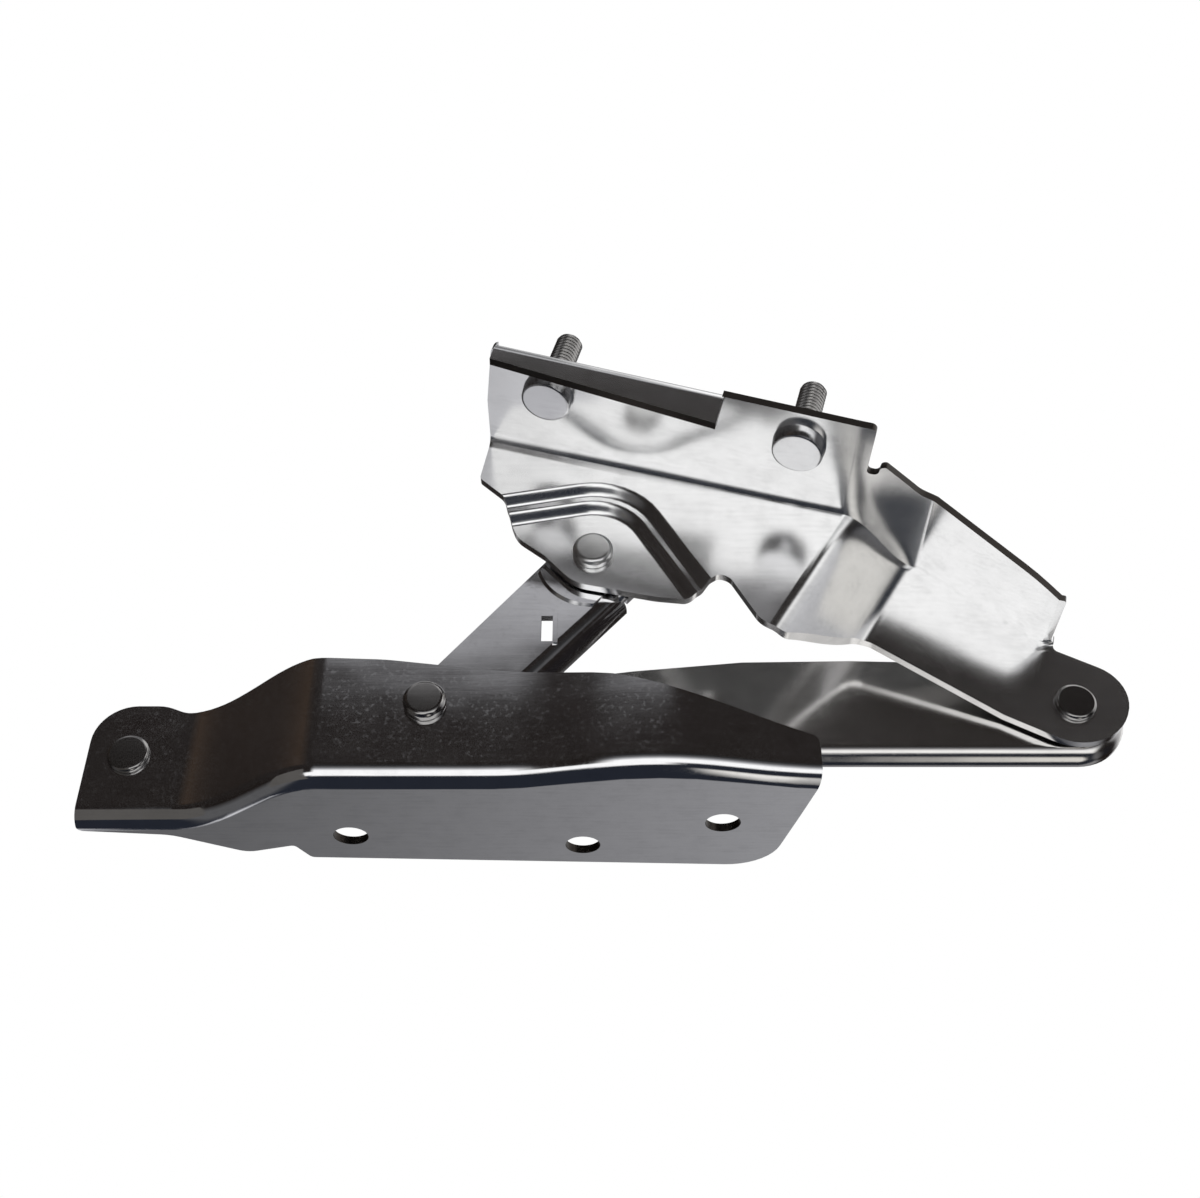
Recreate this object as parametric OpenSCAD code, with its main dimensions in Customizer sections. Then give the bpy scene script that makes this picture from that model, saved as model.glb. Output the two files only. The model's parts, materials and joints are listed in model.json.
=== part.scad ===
// Bonnet hinge: a four-bar linkage of pressed, zinc-plated steel.
// X runs along the hinge, Y across it (away from the open side of the bonnet bracket), Z up.
// The origin is the axis of the middle body bolt hole, on the underside of the bolt flange.

/* [Sheet] */
// Thickness of the pressed sheet
sheet = 2.5; // [2:0.1:3]
// Inner bend radius of the body bracket
body_bend = 3; // [2:0.5:4]
// Inner bend radius of the bonnet bracket
bonnet_bend = 3; // [2:0.5:4]

/* [Pivots] */
// Main arm pivot on the body bracket, along the hinge
pivot_a_x = -130.7; // [-136:0.1:-126]
// Main arm pivot on the body bracket, height
pivot_a_z = 21.3; // [20:0.1:23]
// Control link pivot on the body bracket, along the hinge
pivot_b_x = -43.6; // [-48:0.1:-40]
// Control link pivot on the body bracket, height
pivot_b_z = 24.4; // [23:0.1:26]
// Control link pivot on the bonnet bracket, along the hinge
pivot_c_x = 2.8; // [0:0.1:6]
// Control link pivot on the bonnet bracket, height
pivot_c_z = 77.6; // [75:0.1:81]
// Main arm pivot on the bonnet bracket, along the hinge
pivot_d_x = 145; // [141:0.1:149]
// Main arm pivot on the bonnet bracket, height
pivot_d_z = 39; // [37:0.1:41]
// Diameter of the rivet shanks
rivet_d = 8; // [6:0.5:9]
// Diameter of the rivet heads
rivet_head_d = 12; // [11:0.5:14]
// Height of the low rivet heads on the main arm pivots
rivet_low_h = 2; // [1.5:0.1:3]
// Height of the taller rivet heads on the control link pivots
rivet_tall_h = 3.2; // [2.5:0.1:4]
// Height of the formed rivet tails
rivet_tail_h = 2.4; // [2:0.1:3]
// Wall of the sleeve bushes
bush_wall = 1.5; // [1:0.1:2]
// Thickness of the thrust washers on the main arm
arm_washer = 1.2; // [1:0.1:2]
// Thickness of the thrust washer on the lower end of the control link
link_washer = 1.6; // [1.4:0.1:2.4]
// Width of the thrust washer rings
thrust_ring = 4; // [3:0.1:5]
// Thickness of the washers under the rivet tails
tail_washer = 1.2; // [1:0.1:2]
// Width of the tail washer rings
tail_ring = 4; // [3:0.1:5]
// Radial running clearance of each turning fit
run_clear = 0.05; // [0.03:0.01:0.09]
// Axial play of each turning sheet, per side
side_clear = 0.05; // [0.03:0.01:0.1]
// Free travel of the upper control link pivot in its slot
slot_travel = 3.7; // [3.7:0.1:5]

/* [Body bracket] */
// Height of the web above the bolt flange at its left shoulder
body_web_h = 39.8; // [38:0.1:44]
// Height of the web at its right end
body_end_h = 13.5; // [11:0.1:16]
// Right end of the web
body_right = 64.8; // [60:0.1:70]
// Depth of the bolt flange behind the middle hole
flange_back = 11.5; // [10:0.1:16]
// Distance from the bolt hole line to the front of the web
web_front = 37; // [34:0.1:40]
// How far the left lobe is set back behind the web
lobe_set = 23; // [20:0.1:25]
// Radius of the left lobe
lobe_r = 12; // [11.5:0.1:14]
// How far the right half of the web bows forward
web_bow = 6; // [3:0.1:8]
// Diameter of the body bolt holes
bolt_hole_d = 10; // [8.5:0.1:11]
// Left bolt hole, along the hinge from the middle one
hole_left_x = -65.8; // [-70:0.1:-60]
// Left bolt hole, across the hinge from the middle one
hole_left_y = -5.4; // [-10:0.1:0]
// Right bolt hole, along the hinge from the middle one
hole_right_x = 39.3; // [34:0.1:42]
// Right bolt hole, across the hinge from the middle one
hole_right_y = -13.1; // [-18:0.1:-8]

/* [Bonnet bracket] */
// Angle at which the bonnet plate slopes down with the bonnet shut
bonnet_tilt = 15.6; // [14.6:0.1:16.6]
// Height of the plate above the upper control link pivot
plate_rise = 29.7; // [29:0.1:33]
// Depth of the plate in front of the web
plate_deep = 41; // [39:0.1:46]
// How much the front edge of the plate runs back from left to right
plate_taper = 3.5; // [0:0.5:6]
// Left end of the plate from the upper control link pivot
plate_left = 43.3; // [41:0.1:46]
// Right end of the plate from the upper control link pivot
plate_right = 74; // [72:0.1:76]
// Depth of the pressed pad round the upper control link pivot
pad_deep = 6; // [4.5:0.1:7]
// Outer radius of the pad's step
pad_r = 23.5; // [22:0.1:25]
// Width of the pad's step
pad_step = 9; // [7:0.1:10]
// Radius of the end round the main arm pivot
bonnet_end_r = 15.5; // [14.5:0.1:17]
// Depth of the front lip at its shallow end
lip_low = 7; // [6:0.1:8]
// Depth of the front lip at its deep end
lip_high = 11.8; // [10:0.1:14]
// Length of the front lip
lip_len = 68; // [60:0.5:72]
// Inner bend radius of the front lip
lip_bend = 0.5; // [0.3:0.1:2]
// Angle by which the front lip is bent beyond square
lip_lean = 9; // [0:1:12]

/* [Main arm] */
// Radius of the arm's end on the body bracket
arm_tail_r = 11.5; // [11:0.1:12.5]
// Radius of the arm's end on the bonnet bracket
arm_nose_r = 16; // [15:0.1:17]
// Height of the arm's crown above the bonnet pivot
arm_crown = 18.8; // [17.5:0.1:22]
// Depth of the stiffening flange along the arm's lower edge
arm_flange = 5.5; // [5:0.1:8]

/* [Control link] */
// Width of the link
link_w = 29.4; // [28.5:0.1:31]
// Distance of the link's left edge from the pivot line
link_left = 9.5; // [9:0.1:11]
// Depth of the flange on the link's right edge
link_flange = 7; // [6.4:0.1:9]
// Height of the raised boss round the upper pivot
link_boss = 0.8; // [0.5:0.1:1]
// Radius of the raised boss
link_boss_r = 17; // [16:0.1:20]

/* [Studs] */
// Thread diameter of the bonnet studs
stud_d = 8; // [6:1:8]
// Length of thread above the plate
stud_len = 20.5; // [18:0.5:30]
// Diameter of the stud heads
stud_head_d = 15.5; // [14:0.5:19]
// Thickness of the stud heads
stud_head_h = 3.8; // [3:0.1:4.5]
// Distance between the two studs
stud_pitch = 75; // [70:0.5:78]
// Distance of the studs in front of the bonnet bracket's web
stud_reach = 26; // [22:0.5:28]
// Distance of the left stud from the left end of the plate
stud_inset = 21.5; // [19:0.5:24]

/* [Hidden] */
$fn = 64;
bend_steps = 8;
lap = 1;
rivet_crown = 0.1;
far = 400;

pivot_a = [pivot_a_x, pivot_a_z];
pivot_b = [pivot_b_x, pivot_b_z];
pivot_c = [pivot_c_x, pivot_c_z];
pivot_d = [pivot_d_x, pivot_d_z];

// Layers across the hinge, each a front face
body_y = -web_front;
lobe_y = body_y + lobe_set;
pad_y = body_y;
bonnet_y = pad_y - pad_deep;
nose_y = lobe_y;
arm_y = lobe_y + sheet + arm_washer + 2 * side_clear;
link_y = body_y + sheet + link_washer + 2 * side_clear;
boss_y = link_y - link_boss;

shank_r = rivet_d / 2;
bush_r = shank_r + run_clear + bush_wall;
bore_r = bush_r + run_clear;
thrust_r = bore_r + thrust_ring;
tail_r = shank_r + run_clear + tail_ring;

// Smooth steps and bumps for pressed transitions
function ease(u) = u <= 0 ? 0 : u >= 1 ? 1 : (1 - cos(180 * u)) / 2;
function bump(u) = abs(u) >= 1 ? 0 : (1 + cos(180 * u)) / 2;
function mix(a, b, u) = a + (b - a) * u;
function steps(from, to, count) = [for (i = [0:count]) mix(from, to, i / count)];
function unit(v) = v / norm(v);

// Outline from corners [x, y, radius], with each corner rounded to its radius
function corner_arc(before, at, after) =
    let (p = [at.x, at.y],
         to_before = unit([before.x, before.y] - p),
         to_after = unit([after.x, after.y] - p),
         half = acos(to_before * to_after) / 2,
         centre = p + unit(to_before + to_after) * at.z / sin(half),
         first = p + to_before * at.z / tan(half) - centre,
         last = p + to_after * at.z / tan(half) - centre,
         start = atan2(first.y, first.x),
         turn = atan2(first.x * last.y - first.y * last.x, first * last),
         count = max(2, ceil(abs(turn) / 9)))
    [for (i = [0:count]) centre + at.z * [cos(start + turn * i / count), sin(start + turn * i / count)]];
function rounded(corners) =
    let (n = len(corners))
    [for (i = [0:n - 1])
        each corners[i].z == 0
            ? [[corners[i].x, corners[i].y]]
            : corner_arc(corners[(i + n - 1) % n], corners[i], corners[(i + 1) % n])];

// Section of a bent sheet: the inner faces meet at [0, 0], the web runs down and the flange to the left
// A lean bends the web on beyond square, towards the flange
function bent_section(bend, web_t, web, flange, lean = 0) =
    let (turns = steps(-lean, 90, bend_steps),
         foot = (web - bend) * [-sin(lean), -cos(lean)],
         inner = [for (t = turns) [bend * (cos(t) - 1), bend * (sin(t) - 1)]],
         outer = [for (t = turns) [(bend + web_t) * cos(t) - bend, (bend + sheet) * sin(t) - bend]])
    concat(
        [inner[0] + foot],
        inner,
        [[-flange, 0], [-flange, sheet]],
        [for (i = [bend_steps:-1:0]) outer[i]],
        [outer[0] + foot]);

// Solid through a row of sections with equal numbers of points
module loft(sections) {
    n = len(sections);
    m = len(sections[0]);
    sides = [for (i = [0:n - 2], j = [0:m - 1])
        let (a = i * m + j, b = i * m + (j + 1) % m)
        each [[a, b, b + m], [a, b + m, a + m]]];
    first = [for (j = [0:m / 2 - 2]) each [[j + 1, j, m - 2 - j], [m - 2 - j, j, m - 1 - j]]];
    last = [for (f = first) [for (k = [2, 1, 0]) f[k] + (n - 1) * m]];
    polyhedron([for (s = sections) each s], concat(sides, first, last));
}

// Places a shape drawn in X and Z at a depth, extruded away from the viewer
module sheet_at(y, depth = sheet) {
    translate([0, y + depth, 0]) rotate([90, 0, 0]) linear_extrude(depth) children();
}

// Places a shape that is turned about a pivot, its own axis running away from the viewer
module on_pivot(p, y = 0) {
    translate([p.x, y, p.y]) rotate([-90, 0, 0]) children();
}

module pivot_hole(p, r) {
    on_pivot(p, -far / 2) cylinder(h = far, r = r);
}

// Body bracket: an L-shaped pressing, bent back into a lobe on the left and bowed on the right
joggle_from = pivot_a_x + 15;
joggle_to = pivot_b_x - 28;
bow_mid = 21;
bow_half = 48;
function web_line(x) =
    mix(lobe_y, body_y, ease((x - joggle_from) / (joggle_to - joggle_from)))
    - web_bow * bump((x - bow_mid) / bow_half);
function web_slope(x) = (web_line(x + 0.1) - web_line(x - 0.1)) / 0.2;
function body_section(x) =
    let (web_t = sheet * sqrt(1 + pow(web_slope(x), 2)))
    [for (p = bent_section(body_bend, web_t, body_web_h + 10, web_front + flange_back + 20))
        [x, web_line(x) + web_t - p.x, sheet - p.y]];
body_left = pivot_a_x - lobe_r;
lobe_top = pivot_a_z + 16.9;
body_side = [
    [body_left, -1, 0],
    [body_left, lobe_top, lobe_r],
    [pivot_a_x + 8, lobe_top, 12],
    [pivot_a_x + 14.5, lobe_top - 2.6, 9],
    [pivot_a_x + 38, body_web_h - 2, 30],
    [pivot_b_x - 33, body_web_h, 12],
    [pivot_b_x - 12, body_web_h - 0.8, 60],
    [pivot_b_x + 52, body_web_h - 8.6, 60],
    [body_right, body_end_h, 3],
    [body_right, -1, 0]
];
lobe_back = lobe_y + body_bend + sheet;
body_plan = [
    [body_left, -far / 2, 0],
    [body_left, lobe_back, 2],
    [pivot_a_x + 14, lobe_back + 2.5, 14],
    [hole_left_x - 31, hole_left_y + 9.8, 7],
    [hole_left_x - 17, hole_left_y + 5.6, 1.5],
    [hole_left_x - 13, flange_back - 4, 2],
    [body_right - 11, flange_back + 1, 15],
    [body_right - 4, body_y + web_front * 0.5, 60],
    [body_right, body_y, 0],
    [body_right, -far / 2, 0]
];
body_holes = [[hole_left_x, hole_left_y], [0, 0], [hole_right_x, hole_right_y]];

module body_bracket() {
    stations = concat(
        [body_left - 5],
        steps(joggle_from, joggle_to, 20),
        steps(bow_mid - bow_half, bow_mid + bow_half, 20));
    color("silver") difference() {
        intersection() {
            loft([for (x = stations) body_section(x)]);
            sheet_at(-far / 2, far) polygon(rounded(body_side));
            translate([0, 0, -1]) linear_extrude(far) polygon(rounded(body_plan));
        }
        for (h = body_holes) translate([h.x, h.y, -1]) cylinder(h = body_bend + sheet, d = bolt_hole_d);
        pivot_hole(pivot_a, shank_r + run_clear);
        pivot_hole(pivot_b, shank_r + run_clear);
    }
}

// Main arm: a flat web with a crowned top edge and a flange turned back along the lower edge
arm_bend = 2;
arm_floor = pivot_d_z - arm_nose_r;
arm_flange_from = pivot_b_x + 60;
arm_crown_x = pivot_c_x + 45;
arm_side = [
    [pivot_a_x - arm_tail_r, pivot_a_z - arm_tail_r, arm_tail_r],
    [pivot_a_x + 20, pivot_a_z - arm_tail_r, 40],
    [arm_flange_from, arm_floor, 60],
    [pivot_d_x + arm_nose_r, arm_floor, arm_nose_r],
    [pivot_d_x + arm_nose_r, pivot_d_z + arm_nose_r, arm_nose_r - 1],
    [arm_crown_x, pivot_d_z + arm_crown, 400],
    [pivot_a_x - arm_tail_r, pivot_a_z + arm_tail_r - 1.7, arm_tail_r - 1]
];

// Edge of the arm: bend and flange, drawn outwards from the web with depth upwards
module arm_edge(width) {
    polygon([for (p = bent_section(arm_bend, sheet, arm_flange - sheet, arm_bend + lap))
        [width - sheet + p.x, sheet - p.y]]);
}

module main_arm() {
    trim = arm_bend + sheet;
    color("silver") difference() {
        union() {
            difference() {
                sheet_at(arm_y) polygon(rounded(arm_side));
                translate([arm_flange_from + 30, arm_y - 1, arm_floor - 1])
                    cube([pivot_d_x - arm_flange_from - 30, sheet + 2, trim + 1]);
                on_pivot(pivot_d, arm_y - 1) rotate(-90) rotate_extrude(angle = 180)
                    translate([arm_nose_r - trim, 0]) square([trim + 2, sheet + 2]);
            }
            translate([arm_flange_from + 30, arm_y, pivot_d_z]) rotate([90, 0, 90])
                linear_extrude(pivot_d_x - arm_flange_from - 30) rotate(-90) arm_edge(arm_nose_r);
            on_pivot(pivot_d, arm_y) rotate(-90) rotate_extrude(angle = 180)
                arm_edge(arm_nose_r);
        }
        pivot_hole(pivot_a, bore_r);
        pivot_hole(pivot_d, bore_r);
    }
}

// Control link: drawn with its own axis from the lower to the upper pivot
link_len = norm(pivot_c - pivot_b);
link_angle = atan2(pivot_c.y - pivot_b.y, pivot_c.x - pivot_b.x);
link_bend = 3.5;
link_right = link_left - link_w;
link_outline = [
    [-13, link_right + 3, 10],
    [link_len + 13, link_right + 3, 12],
    [link_len + 13, link_left + 2, 12],
    [-13, link_left - 2, 9]
];
window_at = [43.2, -6.2];
window_size = [9, 3.4];
tab_h = 0.8;
tab_w = 1.4;
window_turn = 90 - link_angle;
slot_turn = 172 - link_angle;

// Turns a shape drawn along the link into place, at a depth
module on_link(y, depth = sheet) {
    sheet_at(y, depth) translate(pivot_b) rotate(link_angle) children();
}

module control_link() {
    edge_from = 2;
    edge_len = link_len - 6;
    outer = link_bend + sheet;
    edge_y = link_right + 3;
    color("silver") difference() {
        union() {
            difference() {
                on_link(link_y) polygon(rounded(link_outline));
                on_link(link_y - 1, sheet + 2) translate([edge_from, edge_y - 1]) square([edge_len, outer + 1]);
            }
            translate([pivot_b.x, link_y, pivot_b.y]) rotate([0, -link_angle, 0])
                translate([edge_from, 0, edge_y]) rotate([90, 0, 90]) linear_extrude(edge_len)
                    polygon([for (p = bent_section(link_bend, sheet, link_flange - sheet, link_bend + lap))
                        [sheet - p.y, sheet - p.x]]);
            on_link(link_y - tab_h, tab_h + lap) translate(window_at) rotate(window_turn)
                translate([-window_size.x / 2 - 1, -window_size.y / 2 - tab_w]) square([window_size.x + 2, tab_w]);
            on_pivot(pivot_c, boss_y) intersection() {
                cylinder(h = link_boss + 0.2, r1 = link_boss_r - link_boss, r2 = link_boss_r + 0.2);
                on_boss_limits();
            }
        }
        on_link(link_y - 1, sheet + 2) translate(window_at) rotate(window_turn) square(window_size, center = true);
        on_link(boss_y - 1, sheet + link_boss + 2) translate([link_len, 0]) rotate(slot_turn) {
            circle(bore_r + run_clear);
            translate([slot_travel, 0]) circle(bore_r + run_clear);
            translate([0, -bore_r - run_clear]) square([slot_travel, 2 * (bore_r + run_clear)]);
        }
        pivot_hole(pivot_b, bore_r);
    }
}

// Keeps the boss inside the link's own outline
module on_boss_limits() {
    translate([0, 0, -1]) linear_extrude(link_boss + 3) mirror([0, 1])
        rotate(link_angle) translate([-link_len, 0])
            translate([0, link_right + 3 + link_bend + sheet]) square([link_len + 13, link_w - 9]);
}

// Bonnet bracket, in its own frame: origin on the upper control link pivot, first axis along the plate
along = [cos(bonnet_tilt), -sin(bonnet_tilt)];
upward = [sin(bonnet_tilt), cos(bonnet_tilt)];
to_d = pivot_d - pivot_c;
nose = [to_d * along, to_d * upward];
ramp_from = plate_right - 5;
ramp_to = nose.x - 53.6;
hump = 3;
shear = 0.28;
nose_flat = nose.x - 9;
flange_end = nose.x - 9.3;
right_rise = nose.y + 19;
function bonnet_web(s) =
    let (start = nose_y - 8)
    s < ramp_to
        ? mix(bonnet_y, start, ease((s - ramp_from) / (ramp_to - ramp_from)))
        : mix(start, nose_y, min(1, (s - ramp_to) / (nose_flat - ramp_to)));
function bonnet_level(s) =
    s < ramp_to
        ? plate_rise + hump * ease((s - ramp_from) / (ramp_to - ramp_from))
        : s < nose_flat
            ? mix(plate_rise + hump, right_rise, (s - ramp_to) / (nose_flat - ramp_to))
            : right_rise + 0.6 * (s - nose_flat);
function bonnet_slope(s) = s < nose_flat ? (bonnet_web(s + 0.1) - bonnet_web(s - 0.1)) / 0.2 : 0;
function bonnet_section(s) =
    let (web_t = sheet * sqrt(1 + pow(bonnet_slope(s), 2)))
    [for (p = bent_section(bonnet_bend, web_t, plate_rise + 30, plate_deep + 60))
        let (h = bonnet_level(s) + p.y)
        [s + shear * (h - plate_rise), bonnet_web(s) + p.x, h]];
plate_front = bonnet_y - plate_deep;
bonnet_side = [
    [-plate_left, plate_rise + 20, 0],
    [-plate_left + 3.5, 14.3, 2],
    [-30.1, 9.1, 3],
    [-23.5, -0.5, 9],
    [-13.5, -4.9, 5],
    [-2.5, -12.2, 12],
    [22, -10.8, 30],
    [33, -9, 3],
    [38.6, -2.2, 2.5],
    [42, -2.6, 4],
    [54, -15.4, 8],
    [61, -16.4, 4],
    [nose.x - 65, nose.y + 0.5, 8],
    [nose.x + bonnet_end_r, nose.y - 17.3, bonnet_end_r + 0.5],
    [nose.x + bonnet_end_r, nose.y + 13, bonnet_end_r - 3],
    [flange_end + 1, right_rise - 1, 2],
    [flange_end, far / 4, 0],
    [-plate_left, far / 4, 0]
];
bonnet_plan = [
    [-plate_left, far / 2, 0],
    [-plate_left, bonnet_y, 0],
    [-plate_left + 4.5, plate_front, 3],
    [plate_right, plate_front + plate_taper, 2],
    [plate_right - 0.5, bonnet_y - 19.5, 1.4],
    [plate_right + 2.8, bonnet_y - 19, 1.4],
    [plate_right + 3.4, bonnet_y - 23.6, 1.2],
    [plate_right + 16, bonnet_y - 12, 10],
    [flange_end - 10, bonnet_y + 2.5, 60],
    [flange_end, bonnet_y + 8, 2],
    [flange_end, nose_y - 1, 1],
    [nose.x + 40, nose_y - 1, 0],
    [nose.x + 40, far / 2, 0]
];

// Moves a shape from the bonnet bracket's own frame into the hinge's
module in_bonnet() {
    translate([pivot_c.x, 0, pivot_c.y]) rotate([0, bonnet_tilt, 0]) children();
}

// Region of the pressed pad, at a distance from the pivot
pad_turn_left = 116.6;
pad_turn_right = 45;
function turned(a, r) = r * [cos(a), sin(a)];
function pad_outline(r) = concat(
    [turned(pad_turn_left, r) + turned(pad_turn_left + 90, 40)],
    [for (a = steps(pad_turn_left, pad_turn_right, 8)) turned(a, r)],
    [turned(pad_turn_right, r) + turned(pad_turn_right - 90, 60), [0, -80]]);

// Step of the pad: two soft steps with a ledge between, as [distance from the pivot, depth]
pad_inner = pad_r - pad_step;
function pad_depth(u) = pad_deep * (1 - (ease(u / 0.45) + ease((u - 0.55) / 0.45)) / 2);
pad_front = concat(
    [[pad_inner - 2 * lap, pad_deep]],
    [for (u = steps(0, 1, 16)) [mix(pad_inner, pad_r - lap / 2, u), pad_depth(u)]],
    [[pad_r + lap, 0]]);
pad_step_profile = concat(pad_front, [for (i = [len(pad_front) - 1:-1:0]) pad_front[i] + [0, sheet]]);
function pad_ring(a, shift) =
    [for (p = pad_step_profile)
        let (q = turned(a, p.x) + shift)
        [q.x, bonnet_y + p.y, q.y]];

// The step runs round the pivot and on along a tangent to each side
module pad() {
    loft(concat(
        [pad_ring(pad_turn_left, turned(pad_turn_left + 90, 40))],
        [for (a = steps(pad_turn_left, pad_turn_right, 8)) pad_ring(a, [0, 0])],
        [pad_ring(pad_turn_right, turned(pad_turn_right - 90, 60))]));
    sheet_at(pad_y) polygon(pad_outline(pad_inner - lap));
}

// Left front corner of the plate's top face, with the first axis along the front edge
module lip_frame() {
    taper = atan2(plate_taper, plate_left + plate_right - 4.5);
    translate([-plate_left + 4.5, plate_front, plate_rise + sheet]) rotate([0, 0, taper]) children();
}

// Front lip: turned down from the front edge of the plate and deeper towards its right end
module front_lip() {
    lip_frame() intersection() {
        translate([1, 0, 0]) rotate([90, 0, 90]) linear_extrude(lip_len)
            polygon([for (p = bent_section(lip_bend, sheet, lip_high, lip_bend + lap, lip_lean))
                [sheet - p.x, p.y - sheet]]);
        translate([0, far / 4, 0]) rotate([90, 0, 0]) linear_extrude(far / 2)
            polygon([[1, 1], [lip_len + 1, 1], [lip_len + 1, -lip_high], [1, -lip_low]]);
    }
}

module bonnet_bracket() {
    stations = concat(
        [-plate_left - 20],
        steps(ramp_from, ramp_to, 20),
        [nose_flat - 2, nose_flat, nose.x + 60]);
    trim = lip_bend + sheet;
    color("gainsboro") difference() {
        in_bonnet() union() {
            intersection() {
                difference() {
                    loft([for (s = stations) bonnet_section(s)]);
                    sheet_at(bonnet_y - 1, sheet + 2) polygon(pad_outline(pad_r));
                    lip_frame() translate([1 + lap / 2, -5, -sheet - 1]) cube([lip_len - lap, trim + 5, sheet + 2]);
                }
                sheet_at(-far / 2, far) polygon(rounded(bonnet_side));
                translate([0, 0, -far / 4]) linear_extrude(far / 2) polygon(rounded(bonnet_plan));
            }
            intersection() {
                pad();
                sheet_at(-far / 2, far) polygon(rounded(bonnet_side));
            }
            front_lip();
        }
        pivot_hole(pivot_c, shank_r + run_clear);
        pivot_hole(pivot_d, shank_r + run_clear);
        in_bonnet() for (i = [0, 1]) stud_axis(i) translate([0, 0, -1])
            cylinder(h = sheet + 2, r = stud_seat_r + run_clear);
    }
}

// Place of a stud on the underside of the plate, in the bonnet bracket's own frame
module stud_axis(i) {
    translate([-plate_left + stud_inset + i * stud_pitch, bonnet_y - stud_reach, plate_rise]) children();
}

// Stud: a head under the plate, a seat in the plate's hole and the thread above
stud_seat_r = stud_d / 2 + 1;
module stud(i) {
    tip = 1;
    color("lightsteelblue") in_bonnet() stud_axis(i) {
        translate([0, 0, -stud_head_h]) cylinder(h = stud_head_h, d1 = stud_head_d - 0.8, d2 = stud_head_d);
        cylinder(h = sheet, r = stud_seat_r);
        cylinder(h = sheet + stud_len - tip, d = stud_d);
        translate([0, 0, sheet + stud_len - tip]) cylinder(h = tip, d1 = stud_d, d2 = stud_d - 2 * tip);
    }
}

// Rivet head with a round rim and a slight crown, its seat at the origin and its crown below
module button(r, h) {
    rotate([180, 0, 0]) rotate_extrude()
        polygon(rounded([[0, 0, 0], [r, 0, 0], [r, h - rivet_crown, h / 2], [0, h, 0]]));
}

// Pivot hardware: front is the front face of the clamped sheet, gap the space to the turning sheet
module rivet(p, front, gap, head_h) {
    back = 2 * sheet + gap + tail_washer + 2 * side_clear;
    color("darkgray") on_pivot(p, front) {
        button(rivet_head_d / 2, head_h);
        cylinder(h = back, r = shank_r);
        translate([0, 0, back]) mirror([0, 0, 1]) button(rivet_head_d / 2, rivet_tail_h);
    }
}

module ring(p, y, h, inner, outer) {
    on_pivot(p, y) difference() {
        cylinder(h = h, r = outer);
        translate([0, 0, -1]) cylinder(h = h + 2, r = inner);
    }
}

module bush(p, front, gap) {
    color("goldenrod") ring(p, front + sheet, gap + sheet + 2 * side_clear, shank_r + run_clear, bush_r);
}

module thrust_washer(p, front, gap) {
    color("dimgray") ring(p, front + sheet, gap, bush_r + run_clear, thrust_r);
}

module washer_under_tail(p, front, gap) {
    color("silver") ring(p, front + 2 * sheet + gap + 2 * side_clear, tail_washer, shank_r + run_clear, tail_r);
}

arm_gap = arm_washer + side_clear;
link_gap = link_washer + side_clear;
boss_gap = link_gap - link_boss;

body_bracket();
main_arm();
control_link();
bonnet_bracket();
rivet(pivot_a, lobe_y, arm_gap, rivet_low_h);  // arm_body_rivet
bush(pivot_a, lobe_y, arm_gap);  // arm_body_bush
thrust_washer(pivot_a, lobe_y, arm_gap);  // arm_body_thrust_washer
washer_under_tail(pivot_a, lobe_y, arm_gap);  // arm_body_tail_washer
rivet(pivot_b, body_y, link_gap, rivet_tall_h);  // link_body_rivet
bush(pivot_b, body_y, link_gap);  // link_body_bush
thrust_washer(pivot_b, body_y, link_gap);  // link_body_thrust_washer
washer_under_tail(pivot_b, body_y, link_gap);  // link_body_tail_washer
rivet(pivot_c, pad_y, link_gap, rivet_tall_h);  // link_bonnet_rivet
bush(pivot_c, pad_y, link_gap);  // link_bonnet_bush
thrust_washer(pivot_c, pad_y, boss_gap);  // link_bonnet_thrust_washer
washer_under_tail(pivot_c, pad_y, link_gap);  // link_bonnet_tail_washer
rivet(pivot_d, nose_y, arm_gap, rivet_low_h);  // arm_bonnet_rivet
bush(pivot_d, nose_y, arm_gap);  // arm_bonnet_bush
thrust_washer(pivot_d, nose_y, arm_gap);  // arm_bonnet_thrust_washer
washer_under_tail(pivot_d, nose_y, arm_gap);  // arm_bonnet_tail_washer
stud(0);  // rear_stud
stud(1);  // front_stud
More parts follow.
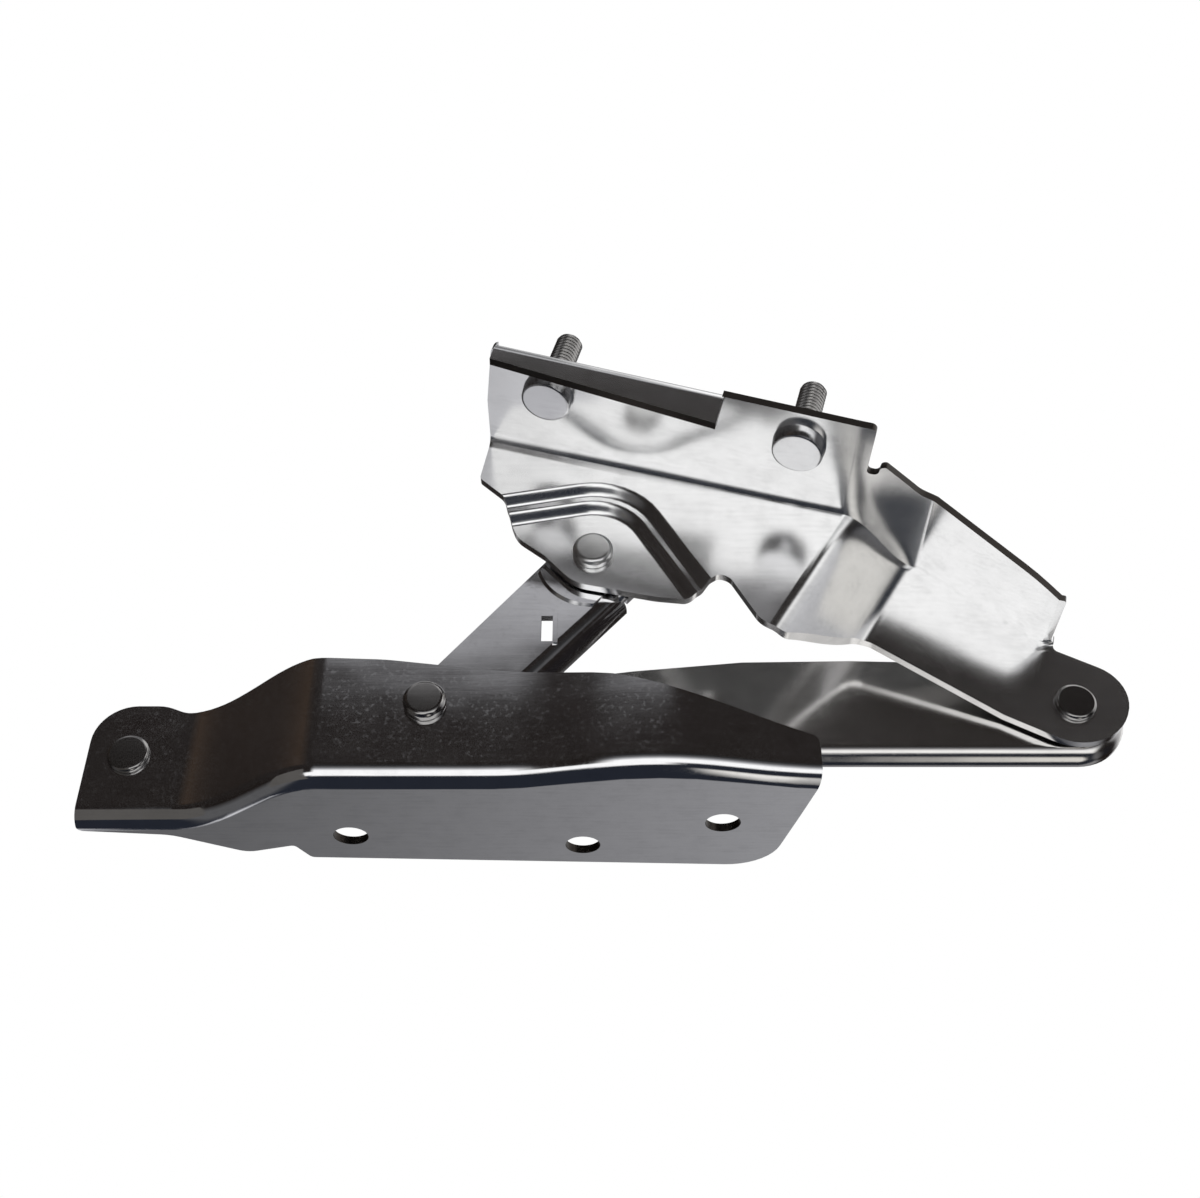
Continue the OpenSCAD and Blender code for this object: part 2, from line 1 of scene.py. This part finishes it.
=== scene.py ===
"""Looks of the bonnet hinge: zinc-plated pressings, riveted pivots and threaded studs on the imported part."""
import json
from math import cos, pi, radians, sin
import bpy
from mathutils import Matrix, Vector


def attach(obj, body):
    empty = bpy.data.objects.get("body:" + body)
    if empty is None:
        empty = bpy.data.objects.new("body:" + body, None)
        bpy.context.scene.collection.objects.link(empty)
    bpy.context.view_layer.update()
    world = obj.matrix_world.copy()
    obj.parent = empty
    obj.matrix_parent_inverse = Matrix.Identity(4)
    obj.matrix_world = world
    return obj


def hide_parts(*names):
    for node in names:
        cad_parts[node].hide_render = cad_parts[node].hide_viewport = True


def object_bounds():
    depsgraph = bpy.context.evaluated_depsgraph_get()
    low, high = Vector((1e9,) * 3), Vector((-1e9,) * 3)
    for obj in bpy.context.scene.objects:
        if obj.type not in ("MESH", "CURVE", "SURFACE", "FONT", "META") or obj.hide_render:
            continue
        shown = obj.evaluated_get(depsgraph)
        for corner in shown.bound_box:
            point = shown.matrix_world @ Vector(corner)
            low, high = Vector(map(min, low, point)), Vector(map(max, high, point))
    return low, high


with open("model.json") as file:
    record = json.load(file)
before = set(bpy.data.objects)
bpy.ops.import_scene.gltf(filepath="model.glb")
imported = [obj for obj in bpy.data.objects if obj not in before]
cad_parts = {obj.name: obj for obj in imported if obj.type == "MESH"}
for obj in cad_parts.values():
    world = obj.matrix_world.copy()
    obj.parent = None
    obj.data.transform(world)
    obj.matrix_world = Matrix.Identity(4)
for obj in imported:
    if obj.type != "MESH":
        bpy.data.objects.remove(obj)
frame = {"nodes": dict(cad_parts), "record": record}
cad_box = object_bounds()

from types import SimpleNamespace

import bmesh
import bpy
from mathutils import Vector
from mathutils.bvhtree import BVHTree
from mathutils.kdtree import KDTree

MM = 0.001
SCENE = bpy.context.scene

# What the record says of the pieces; the sheet is as thick as a body bolt hole is long
RECORD = frame["record"]
MOUNTS = {mount["name"]: mount for mount in RECORD["mounts"]}
BODY_OF = {node: body for body, nodes in RECORD["behaviour"]["bodies"].items() for node in nodes}
SLOT_OF = {part["node"]: part["material_slot"] for part in RECORD["subparts"]}
SHEET = MOUNTS["middle_bolt"]["dims"]["length_mm"] * MM
STUD_AXIS = Vector(MOUNTS["bonnet_studs"]["axis"]).normalized()
STUDS = ("rear_stud", "front_stud")
PRESSINGS = ("body_bracket", "main_arm", "control_link", "bonnet_bracket")

# Photograph's camera, in the part's frame
CAMERA_AT = Vector((4.9, -385.9, -202.5)) * MM
CAMERA_TILT = radians(37)
CAMERA_LENS = 45
CAMERA_SENSOR = 36
CAMERA_NEAR = 10 * MM

# Distance within which points are the same, and the room left between one height of a stud and the next
TOUCH = 1e-6
STEP_ROOM = 1e-5

# Pressed sheet: rounding of its cut edges, the angle above which an edge counts as cut, the angle up to which
# faces count as one flat face, and the weight of flat faces in the shading
EDGE_ROUND = 0.3 * MM
EDGE_ROUND_STEPS = 2
CUT_ANGLE = radians(38)
FLAT_ANGLE = radians(0.4)
FLAT_WEIGHT = 100

# A face with more metal behind it than this is a cut edge, and one whose normal is lower than this faces down
# and keeps the plating's colour instead of the painted shade
CUT_DEPTH = 2 * SHEET
FACES_DOWN = -0.5

# Bonnet bracket's long bend in the solid: inner radius, steps over its quarter turn and shear of its sections
BEND_R = 3 * MM
BEND_STEPS = 8
SECTION_SHEAR = 0.28
BEND_FIND = 0.01 * MM

# Stud thread, coarse metric
THREAD_PITCH = 1.25 * MM
THREAD_DEPTH = 0.7 * MM
THREAD_TURN_STEPS = 48
THREAD_PITCH_STEPS = 14
THREAD_RUNOUT = 1.5 * MM

# Stud head: rounding of its face, how far the rounding bows, bevel of its upper rim, and the share of its
# radius from which a point is on its side
HEAD_ROUND = 0.4 * MM
HEAD_BOW = 0.3
HEAD_BEVEL = 0.15 * MM
HEAD_FULL = 0.99

# Zinc plate: noise scales per metre of its mottling, grain, specks, shallow waves and drawing marks
MOTTLE_SCALE = 140
GRAIN_SCALE = 1400
SPECK_SCALE = 900
WAVE_SCALE = 38
STREAK_SCALES = (60, 900, 900)

# Zinc plate: shares of tint and relief, stops of the tint, range of the specks, and spread of the roughness
MOTTLE_SHARE = 0.6
STREAK_SHARE = 0.4
GRAIN_SHARE = 0.15
TINT_STOPS = ((0.35, 0.92), (0.5, 1), (0.66, 1.04))
SPECKS_FROM = 0.56
SPECKS_TO = 0.70
ROUGH_SPREAD = 0.05
WAVE_HEIGHT = 0.2 * MM
RELIEF_HEIGHT = 0.05 * MM
RELIEF_STRENGTH = 0.05

# Sockets of a mix node that hold colours
MIX_FIRST = 6
MIX_SECOND = 7
MIX_RESULT = 2


def nodes_of(material):
    """Cleared node tree of a material, with its shader and output linked."""
    material.use_nodes = True
    tree = material.node_tree
    tree.nodes.clear()
    shader = tree.nodes.new("ShaderNodeBsdfPrincipled")
    output = tree.nodes.new("ShaderNodeOutputMaterial")
    tree.links.new(shader.outputs["BSDF"], output.inputs["Surface"])
    return tree, shader


def feed(tree, value, socket):
    """Links a node's output to a socket, or sets the socket to a plain value."""
    if isinstance(value, bpy.types.NodeSocket):
        tree.links.new(value, socket)
    else:
        socket.default_value = value


def ramp(tree, source, stops):
    """Colour ramp over a value, from (place, colour) stops."""
    node = tree.nodes.new("ShaderNodeValToRGB")
    elements = node.color_ramp.elements
    while len(elements) < len(stops):
        elements.new(0.5)
    for element, (place, colour) in zip(elements, stops):
        element.position = place
        element.color = (*colour, 1)
    tree.links.new(source, node.inputs["Fac"])
    return node.outputs["Color"]


def span(tree, source, start, end, low=0, high=1):
    """Value that goes from low to high as the source goes from start to end, and holds beyond them."""
    node = tree.nodes.new("ShaderNodeMapRange")
    node.inputs["From Min"].default_value = start
    node.inputs["From Max"].default_value = end
    node.inputs["To Min"].default_value = low
    node.inputs["To Max"].default_value = high
    tree.links.new(source, node.inputs["Value"])
    return node.outputs["Result"]


def noise(tree, vector, scale, detail=4, rough=0.55):
    """Noise of a scale, from 0 to 1."""
    node = tree.nodes.new("ShaderNodeTexNoise")
    node.inputs["Scale"].default_value = scale
    node.inputs["Detail"].default_value = detail
    node.inputs["Roughness"].default_value = rough
    tree.links.new(vector, node.inputs["Vector"])
    return node.outputs["Fac"]


def stretched(tree, vector, scales):
    """Place scaled along each axis by its own factor."""
    node = tree.nodes.new("ShaderNodeMapping")
    node.inputs["Scale"].default_value = scales
    tree.links.new(vector, node.inputs["Vector"])
    return node.outputs["Vector"]


def math_node(tree, operation, first, second):
    """Result of an operation on two outputs or plain values."""
    node = tree.nodes.new("ShaderNodeMath")
    node.operation = operation
    feed(tree, first, node.inputs[0])
    feed(tree, second, node.inputs[1])
    return node.outputs["Value"]


def bump(tree, height, distance, strength=1, under=None):
    """Normal of a relief, laid over the normal of a coarser one where there is one."""
    node = tree.nodes.new("ShaderNodeBump")
    node.inputs["Strength"].default_value = strength
    node.inputs["Distance"].default_value = distance
    tree.links.new(height, node.inputs["Height"])
    if under is not None:
        tree.links.new(under, node.inputs["Normal"])
    return node.outputs["Normal"]


def plated(name, colour, gloss, speckle=0.0, waves=WAVE_HEIGHT):
    """Plated metal: drawing marks along the hinge, soft mottling, shallow waves and small dull specks."""
    material = bpy.data.materials.new(name)
    tree, shader = nodes_of(material)
    place = tree.nodes.new("ShaderNodeTexCoord").outputs["Object"]
    mottle = noise(tree, place, MOTTLE_SCALE, detail=5, rough=0.6)
    grain = noise(tree, place, GRAIN_SCALE, detail=2)
    streak = noise(tree, stretched(tree, place, STREAK_SCALES), 1, detail=3)
    soft_marks = math_node(tree, "MULTIPLY", mottle, MOTTLE_SHARE)
    marks = math_node(tree, "ADD", soft_marks, math_node(tree, "MULTIPLY", streak, STREAK_SHARE))
    tints = [(stop, tuple(min(1, part * factor) for part in colour)) for stop, factor in TINT_STOPS]
    tree.links.new(ramp(tree, marks, tints), shader.inputs["Base Color"])
    specks = span(tree, noise(tree, place, SPECK_SCALE, detail=3), SPECKS_FROM, SPECKS_TO, high=speckle)
    rough = math_node(tree, "ADD", span(tree, marks, 0, 1, gloss, gloss + ROUGH_SPREAD), specks)
    tree.links.new(rough, shader.inputs["Roughness"])
    shader.inputs["Metallic"].default_value = 1
    wave = bump(tree, noise(tree, place, WAVE_SCALE, detail=1), waves)
    relief = math_node(tree, "ADD", math_node(tree, "MULTIPLY", grain, GRAIN_SHARE), streak)
    tree.links.new(bump(tree, relief, RELIEF_HEIGHT, RELIEF_STRENGTH, wave), shader.inputs["Normal"])
    return material


ZINC = plated("zinc_plate", (0.86, 0.86, 0.87), gloss=0.07, speckle=0.06)
# Bonnet bracket: a rougher satin zinc, its colour a little lighter than the base bracket's zinc, which is
# painted light
SATIN = plated("satin_zinc_plate", (0.93, 0.93, 0.93), gloss=0.16, waves=0.4 * MM)
ARM = plated("drawn_zinc_plate", (0.78, 0.765, 0.745), gloss=0.14, speckle=0.04)
# Cut edges: a rough finish and a near-black colour that is painted shade; edges that face down keep the
# plating
PAINTED_EDGE_SHADE = plated("cut_edge_painted_shade", (0.045, 0.039, 0.035), gloss=0.30)
# Rivets: one plated steel in two copies, darkened as painted shade for the rivets on the dark webs and
# lightened as painted light for the one on the bright web
RIVET_PAINTED_DARK = plated("rivet_steel", (0.40, 0.39, 0.38), gloss=0.14, waves=0)
RIVET_PAINTED_LIGHT = plated("bright_rivet_painted_light", (0.90, 0.90, 0.89), gloss=0.27, waves=0)
WASHER = plated("washer_steel", (0.66, 0.66, 0.67), gloss=0.28)
STUD = plated("stud_steel", (0.78, 0.78, 0.79), gloss=0.16, waves=0)
THREAD = plated("rolled_thread", (0.40, 0.39, 0.38), gloss=0.18, waves=0)
BRONZE = plated("bush_bronze", (0.62, 0.44, 0.22), gloss=0.34)
SLOT_LOOK = {
    "zinc_steel": ZINC,
    "rivet_steel": RIVET_PAINTED_DARK,
    "washer_steel": WASHER,
    "stud_steel": STUD,
    "bush_bronze": BRONZE,
}
# The link's rivet on the bonnet bracket takes the lightened copy, which is painted light
NODE_LOOK = {"bonnet_bracket": SATIN, "main_arm": ARM, "link_bonnet_rivet": RIVET_PAINTED_LIGHT}


def piece_from(shape, node):
    """New piece from a bmesh, riding where the node rides and standing for it."""
    name = f"{node}_finish"
    mesh = bpy.data.meshes.new(name)
    shape.to_mesh(mesh)
    shape.free()
    mesh.materials.append(NODE_LOOK.get(node, SLOT_LOOK[SLOT_OF[node]]))
    mesh.materials.append(THREAD if node in STUDS else PAINTED_EDGE_SHADE)
    mesh.shade_smooth()
    mesh.set_sharp_from_angle(angle=CUT_ANGLE)
    piece = bpy.data.objects.new(name, mesh)
    SCENE.collection.objects.link(piece)
    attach(piece, BODY_OF[node])
    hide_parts(node)
    return piece


def crease(shape):
    """Tightens the bonnet bracket's long bend on its inner side to the thin crease of the photograph."""
    across = Vector((0, 1, 0))
    along = Vector((STUD_AXIS.z, 0, -STUD_AXIS.x))
    rise = STUD_AXIS + along * SECTION_SHEAR
    turns = [pi / 2 * step / BEND_STEPS for step in range(BEND_STEPS + 1)]
    spokes = [(across * cos(turn) + rise * sin(turn)) * BEND_R for turn in turns]
    stretch = [1 / max(cos(turn), sin(turn)) - 1 for turn in turns]
    shape.verts.ensure_lookup_table()
    places = KDTree(len(shape.verts))
    for vert in shape.verts:
        places.insert(vert.co, vert.index)
    places.balance()
    half = BEND_STEPS // 2
    moves = {}
    for vert in shape.verts:
        arc = [places.find(vert.co - spokes[half] + spoke) for spoke in spokes]
        if sum(gap < BEND_FIND for _, _, gap in arc) > half:
            for (_, index, gap), spoke, more in zip(arc, spokes, stretch):
                if gap < BEND_FIND:
                    moves[index] = spoke * more
    for index, move in moves.items():
        shape.verts[index].co += move


def paint_cut_edge_shade(shape, node):
    """Gives a pressing's cut edges a rough, near-black look, the near black being painted shade, apart from
    those that face down and aren't on the lip.
    """
    solid = BVHTree.FromBMesh(shape)
    lip_y = min(vert.co.y for vert in shape.verts) + CUT_DEPTH
    for face in shape.faces:
        middle = face.calc_center_median()
        depth = solid.ray_cast(middle - face.normal * TOUCH, -face.normal)[3]
        on_lip = node == "bonnet_bracket" and middle.y < lip_y
        # Edges that face up or sideways, and all the lip's edges, get the painted shade; edges that face down
        # stay bright
        painted_dark = on_lip or face.normal.z > FACES_DOWN
        face.material_index = 1 if depth and depth > CUT_DEPTH and painted_dark else 0


def pressed(node):
    """Copy of a CAD node with whole flat faces, rounded cut edges and smooth bends."""
    shape = bmesh.new()
    shape.from_mesh(frame["nodes"][node].data)
    bmesh.ops.remove_doubles(shape, verts=shape.verts, dist=TOUCH)
    bmesh.ops.triangulate(shape, faces=shape.faces)
    if node == "bonnet_bracket":
        crease(shape)
    if node in PRESSINGS:
        paint_cut_edge_shade(shape, node)
    bmesh.ops.dissolve_limit(
        shape, angle_limit=FLAT_ANGLE, verts=shape.verts, edges=shape.edges,
        use_dissolve_boundaries=False, delimit={"MATERIAL"})
    piece = piece_from(shape, node)
    rounding = piece.modifiers.new("rounded edges", "BEVEL")
    rounding.width = EDGE_ROUND
    rounding.segments = EDGE_ROUND_STEPS
    rounding.limit_method = "ANGLE"
    rounding.angle_limit = CUT_ANGLE
    flats = piece.modifiers.new("flat faces", "WEIGHTED_NORMAL")
    flats.weight = FLAT_WEIGHT


def stud_sizes(node):
    """Foot, heights above it and radii of a stud, measured on its CAD node."""
    corners = [vert.co for vert in frame["nodes"][node].data.vertices]
    levels = [corner.dot(STUD_AXIS) for corner in corners]
    low = min(levels)
    length = max(levels) - low
    heights = [level - low for level in levels]
    tip = [corner for corner, height in zip(corners, heights) if height > length - TOUCH]
    foot = sum(tip, Vector()) / len(tip) - STUD_AXIS * length
    radii = [(corner - foot - STUD_AXIS * height).length for corner, height in zip(corners, heights)]
    head_r = max(radii)
    head_h = max(height for height, radius in zip(heights, radii) if radius > HEAD_FULL * head_r)
    seat_h = head_h + SHEET

    def widest(start, end):
        return max(radius for height, radius in zip(heights, radii) if start < height < end)

    return SimpleNamespace(
        foot=foot, length=length, head_h=head_h, head_r=head_r, seat_h=seat_h,
        face_r=widest(-TOUCH, TOUCH),
        seat_r=widest(head_h + STEP_ROOM, seat_h + STEP_ROOM),
        shank_r=widest(seat_h + STEP_ROOM, length - STEP_ROOM),
        tip_r=widest(length - TOUCH, length + TOUCH))


def thread_radius(size, turn, height):
    """Radius of a rolled thread with a round crest and root, from its runout to the bevel of the tip."""
    start = size.seat_h + THREAD_RUNOUT
    if height < start:
        return size.shank_r
    groove = THREAD_DEPTH * (1 - cos(2 * pi * (height / THREAD_PITCH - turn))) / 2
    depth = groove * min(1, (height - start) / THREAD_RUNOUT)
    return min(size.shank_r - depth, size.tip_r + max(0, size.length - height))


def stud(node):
    """Headed stud with a rolled thread, in the place of its CAD node."""
    size = stud_sizes(node)
    ring = [step / THREAD_TURN_STEPS for step in range(THREAD_TURN_STEPS)]
    head = [
        (0, size.face_r - 2 * HEAD_ROUND),
        (0, size.face_r - HEAD_ROUND),
        (HEAD_BOW * HEAD_ROUND, size.face_r - HEAD_BOW * HEAD_ROUND),
        (HEAD_ROUND, size.face_r),
        (size.head_h - HEAD_BEVEL, size.head_r),
        (size.head_h, size.head_r - HEAD_BEVEL),
        (size.head_h, size.seat_r),
        (size.seat_h, size.seat_r),
    ]
    rows = [[row] * THREAD_TURN_STEPS for row in head]
    shank = size.length - size.seat_h
    count = round(shank / (THREAD_PITCH / THREAD_PITCH_STEPS))
    for step in range(count + 1):
        height = size.seat_h + shank * step / count
        rows.append([(height, thread_radius(size, turn, height)) for turn in ring])
    side = STUD_AXIS.cross(Vector((0, 1, 0))).normalized()
    across = STUD_AXIS.cross(side)
    spokes = [side * cos(2 * pi * turn) + across * sin(2 * pi * turn) for turn in ring]
    shape = bmesh.new()
    grid = [
        [shape.verts.new(size.foot + STUD_AXIS * height + spoke * radius)
         for spoke, (height, radius) in zip(spokes, row)]
        for row in rows]
    for i, (lower, upper) in enumerate(zip(grid, grid[1:])):
        for j in range(THREAD_TURN_STEPS):
            k = (j + 1) % THREAD_TURN_STEPS
            face = shape.faces.new((lower[j], lower[k], upper[k], upper[j]))
            face.material_index = 1 if i >= len(head) else 0
    shape.faces.new(grid[0][::-1])
    shape.faces.new(grid[-1]).material_index = 1
    bmesh.ops.recalc_face_normals(shape, faces=shape.faces)
    piece_from(shape, node)


for node_name in BODY_OF:
    if node_name in STUDS:
        stud(node_name)
    else:
        pressed(node_name)


def stage_square(name, half, look):
    """Flat square of the stage, which isn't part of the object."""
    mesh = bpy.data.meshes.new(name)
    corners = [(x * half, y * half, 0) for x, y in ((-1, -1), (1, -1), (1, 1), (-1, 1))]
    mesh.from_pydata(corners, [], [(0, 1, 2, 3)])
    mesh.materials.append(look)
    square = bpy.data.objects.new(name, mesh)
    SCENE.collection.objects.link(square)
    return square


# Floor: pale, seen only from above, so that the view from below looks through it
FLOOR_HALF = 3.0
FLOOR_GAP = 0.1 * MM
FLOOR_COLOUR = (0.86, 0.86, 0.86, 1)
FLOOR_ROUGH = 0.8
floor_look = bpy.data.materials.new("pale_floor")
floor_tree, floor_shader = nodes_of(floor_look)
floor_shader.inputs["Base Color"].default_value = FLOOR_COLOUR
floor_shader.inputs["Roughness"].default_value = FLOOR_ROUGH
clear = floor_tree.nodes.new("ShaderNodeBsdfTransparent")
from_below = floor_tree.nodes.new("ShaderNodeNewGeometry")
sides = floor_tree.nodes.new("ShaderNodeMixShader")
floor_output = next(node for node in floor_tree.nodes if node.type == "OUTPUT_MATERIAL")
floor_tree.links.new(from_below.outputs["Backfacing"], sides.inputs["Fac"])
floor_tree.links.new(floor_shader.outputs["BSDF"], sides.inputs[1])
floor_tree.links.new(clear.outputs["BSDF"], sides.inputs[2])
floor_tree.links.new(sides.outputs["Shader"], floor_output.inputs["Surface"])
floor = stage_square("floor", FLOOR_HALF, floor_look)
floor.location.z = cad_box[0].z - FLOOR_GAP
floor.visible_glossy = False

# Dim card below on the left, seen only in the metal: it keeps the lobe's bend from shining like the rest
CARD_AT = Vector((-190, -95, -60)) * MM
CARD_FACES = Vector((0.31, 0.75, 0.58))
CARD_HALF = 65 * MM
CARD_LIGHT = (0.10, 0.095, 0.09, 1)
card_look = bpy.data.materials.new("dim_card")
card_shader = nodes_of(card_look)[1]
card_shader.inputs["Base Color"].default_value = (0, 0, 0, 1)
card_shader.inputs["Emission Color"].default_value = CARD_LIGHT
card_shader.inputs["Emission Strength"].default_value = 1
card_shader.inputs["Specular IOR Level"].default_value = 0
card = stage_square("dim_card", CARD_HALF, card_look)
card.location = CARD_AT
card.rotation_euler = CARD_FACES.to_track_quat("Z", "Y").to_euler()
card.visible_camera = False
card.visible_diffuse = False
card.visible_shadow = False

# Studio: white to the camera, and a soft gradient of boxes and flags to the metal
WHITE = (1.12, 1.12, 1.12)
SOFT = (0.6, 0.6, 0.61)
FLAG = (0.013, 0.010, 0.009)
WOOD = (0.034, 0.022, 0.015)
NIGHT = (0.018, 0.021, 0.030)
BLACK = (0, 0, 0)
COOL = 1.04
world = bpy.data.worlds.new("studio")
SCENE.world = world
world.use_nodes = True
sky = world.node_tree
sky.nodes.clear()
direction = sky.nodes.new("ShaderNodeSeparateXYZ")
sky.links.new(sky.nodes.new("ShaderNodeTexCoord").outputs["Generated"], direction.inputs["Vector"])
sky_height = span(sky, direction.outputs["Z"], -1, 1)


def grey(level):
    """Neutral grey of a linear level, a little cool as in a daylit room."""
    return (level, level, level * COOL)


def sector(*stops):
    """One side of the studio, from (elevation in degrees, colour) stops."""
    return ramp(sky, sky_height, [((sin(radians(angle)) + 1) / 2, colour) for angle, colour in stops])


def mixed(first, second, share):
    """Colour that goes from the first to the second as the share goes from 0 to 1."""
    node = sky.nodes.new("ShaderNodeMix")
    node.data_type = "RGBA"
    sky.links.new(share, node.inputs["Factor"])
    feed(sky, first, node.inputs[MIX_FIRST])
    feed(sky, second, node.inputs[MIX_SECOND])
    return node.outputs[MIX_RESULT]


def blend(first, second, axis, low, high):
    """Colour that goes from the first to the second as a direction's component goes from low to high."""
    return mixed(first, second, span(sky, direction.outputs[axis], low, high))


# Dark window at the back, and stops that sectors share: the front's fall from its low box to its flag, and
# the left's dim light from below
REAR_WINDOW = grey(0.02)
FRONT_FALL = ((-20, WHITE), (-10, grey(0.4)), (-2, grey(0.12)), (8, grey(0.02)), (18, FLAG))
LEFT_LOW = ((-62, NIGHT), (-50, grey(0.1)), (-30, grey(0.1)), (-10, FLAG))


def rear(level, top):
    """Back of the studio, with a grey band below the horizon, a box above it and soft light overhead."""
    return sector(
        (-85, NIGHT), (-38, NIGHT), (-32, grey(level)), (-20, grey(level)), (-8, FLAG), (4, FLAG),
        (14, top), (44, top), (51, grey(0.03)), (62, grey(0.03)), (78, SOFT))


# Sides of the studio
front_middle = sector(
    (-52, NIGHT), (-46.5, WHITE), *FRONT_FALL, (33.4, FLAG), (35, grey(0.30)), (36.6, grey(0.36)),
    (38.6, grey(0.48)), (48, grey(0.48)), (55, grey(0.10)), (80, grey(0.15)))
front_right = sector((-41, NIGHT), (-34, WHITE), *FRONT_FALL, (42, FLAG), (52, WHITE))
left = sector(
    (-48, NIGHT), (-42, WHITE), (-29, WHITE), (-24, FLAG), (34, FLAG), (48, grey(0.25)), (78, SOFT))
rear_left = sector(
    (-44, NIGHT), (-39, grey(0.75)), (-33, grey(0.75)), (-29, grey(0.12)), (-20, grey(0.10)),
    (-8, FLAG), (4, FLAG), (14, SOFT), (44, SOFT), (51, FLAG), (62, FLAG), (78, SOFT))
brown = sector(*LEFT_LOW, (16, FLAG), (26, WOOD), (36, WOOD), (46, FLAG), (62, FLAG), (78, SOFT))
far_left = sector(*LEFT_LOW, (62, FLAG), (78, SOFT))
near_right = sector((-60, NIGHT), (-48, grey(0.2)), (-30, FLAG), (4, FLAG), (16, WHITE), (34, WHITE))
right = sector((-60, NIGHT), (-8, FLAG), (2, grey(0.45)), (34, WHITE))

# The sides joined: the front and the back from left to right, then one to the other, then the far ends
front = blend(front_middle, front_right, "X", 0.06, 0.16)
front = blend(left, front, "X", -0.32, -0.22)
back = blend(rear(0.17, REAR_WINDOW), rear(0.31, REAR_WINDOW), "X", -0.14, 0.14)
back = blend(rear(0.13, SOFT), back, "X", -0.24, -0.14)
back = blend(back, rear(0.27, SOFT), "X", 0.26, 0.38)
back = blend(rear_left, back, "X", -0.36, -0.28)
around = blend(front, back, "Y", -0.12, 0.05)
around = blend(brown, around, "X", -0.60, -0.40)
around = blend(far_left, around, "X", -0.92, -0.62)
around = blend(around, near_right, "X", 0.60, 0.70)
around = blend(around, right, "X", 0.78, 0.88)

# Soft box below on the right; its fade starts above 1, so that the box is full before the fade's end
BOX_LIGHT = (0.95, 0.93, 0.89, 1)
box_side = span(sky, direction.outputs["X"], 0.16, 0.30)
box_fade = sector((-68, WHITE), (-60, BLACK))
around = mixed(around, BOX_LIGHT, math_node(sky, "MULTIPLY", box_side, box_fade))

# Only glossy rays see the gradient
studio = sky.nodes.new("ShaderNodeBackground")
sky.links.new(around, studio.inputs["Color"])
plain = sky.nodes.new("ShaderNodeBackground")
plain.inputs["Color"].default_value = (1, 1, 1, 1)
plain.inputs["Strength"].default_value = 1
paths = sky.nodes.new("ShaderNodeLightPath")
chosen = sky.nodes.new("ShaderNodeMixShader")
sky.links.new(paths.outputs["Is Glossy Ray"], chosen.inputs["Fac"])
sky.links.new(plain.outputs["Background"], chosen.inputs[1])
sky.links.new(studio.outputs["Background"], chosen.inputs[2])
sky_output = sky.nodes.new("ShaderNodeOutputWorld")
sky.links.new(chosen.outputs["Shader"], sky_output.inputs["Surface"])

# Camera at the photograph's place
lens = bpy.data.cameras.new("camera")
lens.lens = CAMERA_LENS
lens.sensor_width = CAMERA_SENSOR
lens.clip_start = CAMERA_NEAR
camera = bpy.data.objects.new("camera", lens)
camera.location = CAMERA_AT
camera.rotation_euler = (pi / 2 + CAMERA_TILT, 0, 0)
SCENE.collection.objects.link(camera)
SCENE.camera = camera
SCENE.view_settings.view_transform = "Standard"
